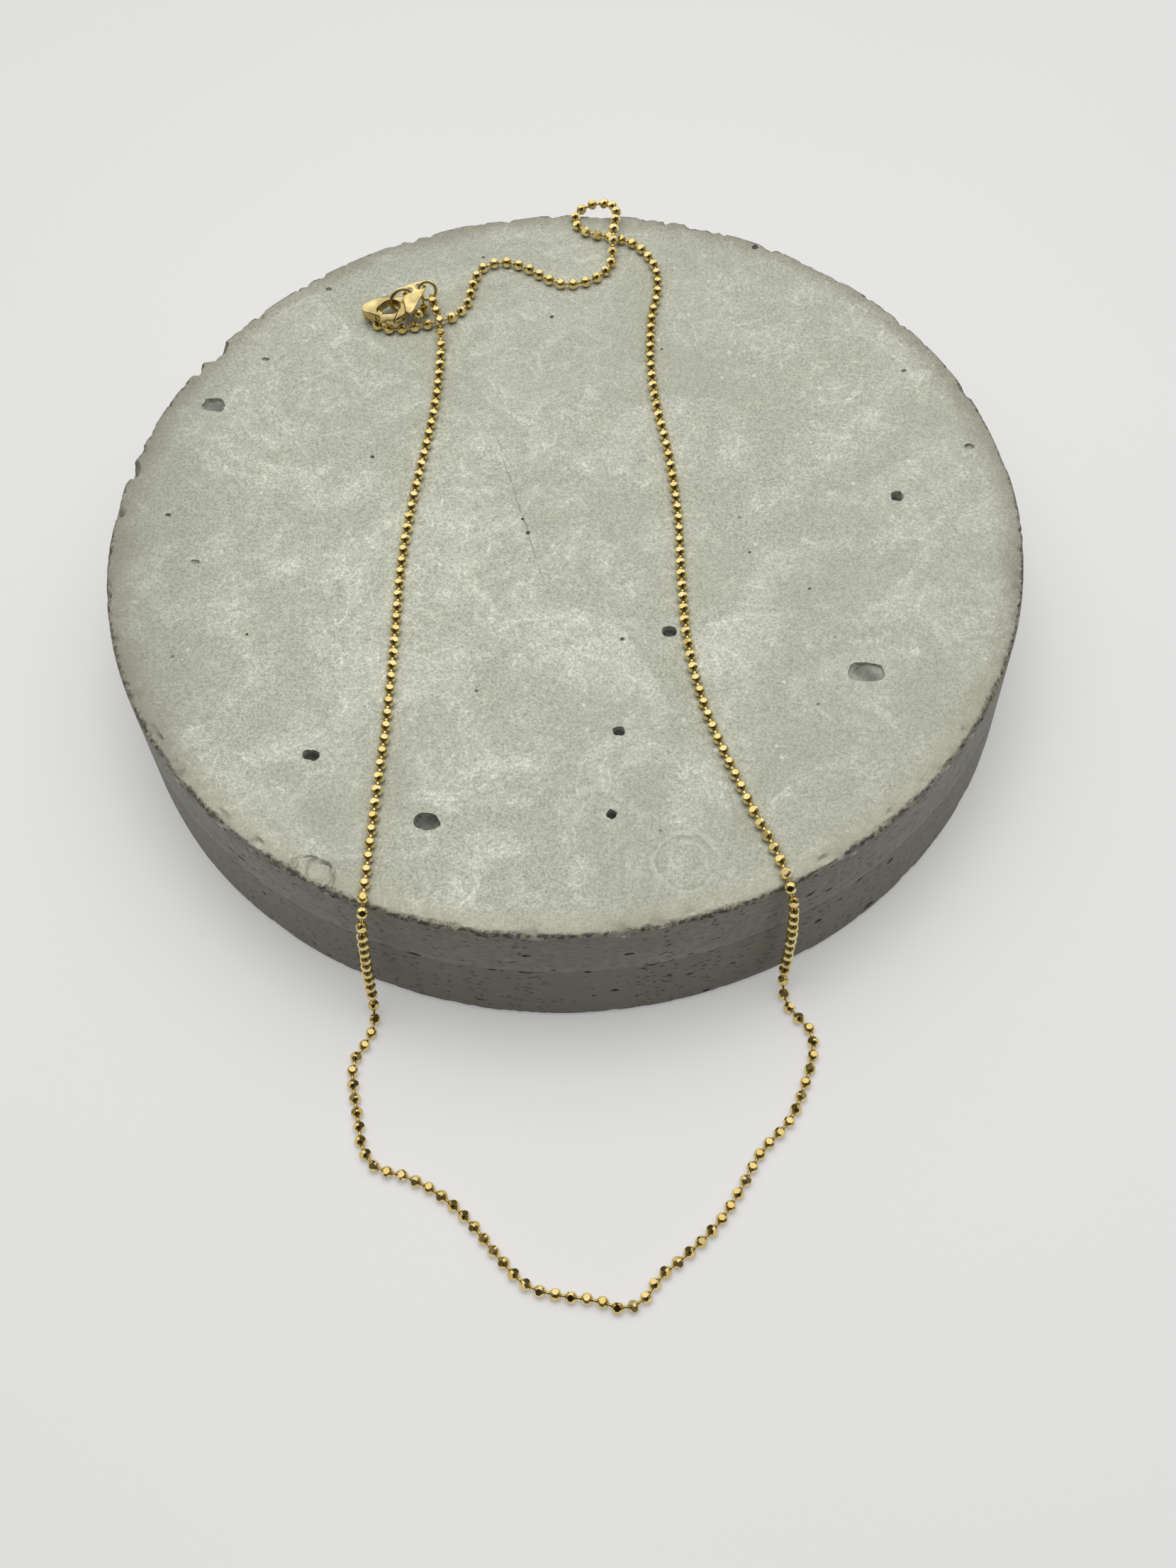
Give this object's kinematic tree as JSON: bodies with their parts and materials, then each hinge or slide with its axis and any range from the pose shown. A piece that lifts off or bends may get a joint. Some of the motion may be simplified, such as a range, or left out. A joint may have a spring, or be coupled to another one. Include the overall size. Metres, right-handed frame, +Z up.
{
  "type": "ball chain necklace on a round display slab",
  "caption": "Gold-coloured ball chain necklace laid over a round concrete display slab, its front loop on the floor, closed by a lobster clasp with two rings and a tag plate.",
  "frame": {"origin": "centre of the display slab's flat underside", "axes": "+Z up, front of the necklace towards -Y, clasp at the back left"},
  "size_m": [0.12, 0.1582, 0.0259],
  "materials": {
    "concrete": "matte",
    "beads": "polished",
    "fittings": "polished"
  },
  "bodies": {
    "necklace": {"display_slab": "concrete", "beads_left": "beads", "beads_right": "beads", "chain_wire": "fittings", "clasp_body": "fittings", "end_ring": "fittings", "tag_plate": "fittings", "jump_ring": "fittings", "tail_beads": "beads", "tail_wire": "fittings"},
    "lever": {"clasp_lever": "fittings"}
  },
  "joints": [
    {"name": "lever_swing", "type": "hinge", "parent": "necklace", "child": "lever", "pos_m": [-0.02444, 0.03914, 0.02393], "axis": [0, 0, 1], "range_deg": [0, 25], "stiffness_Nm_per_rad": 0.002, "springref_deg": -5.73}
  ]
}
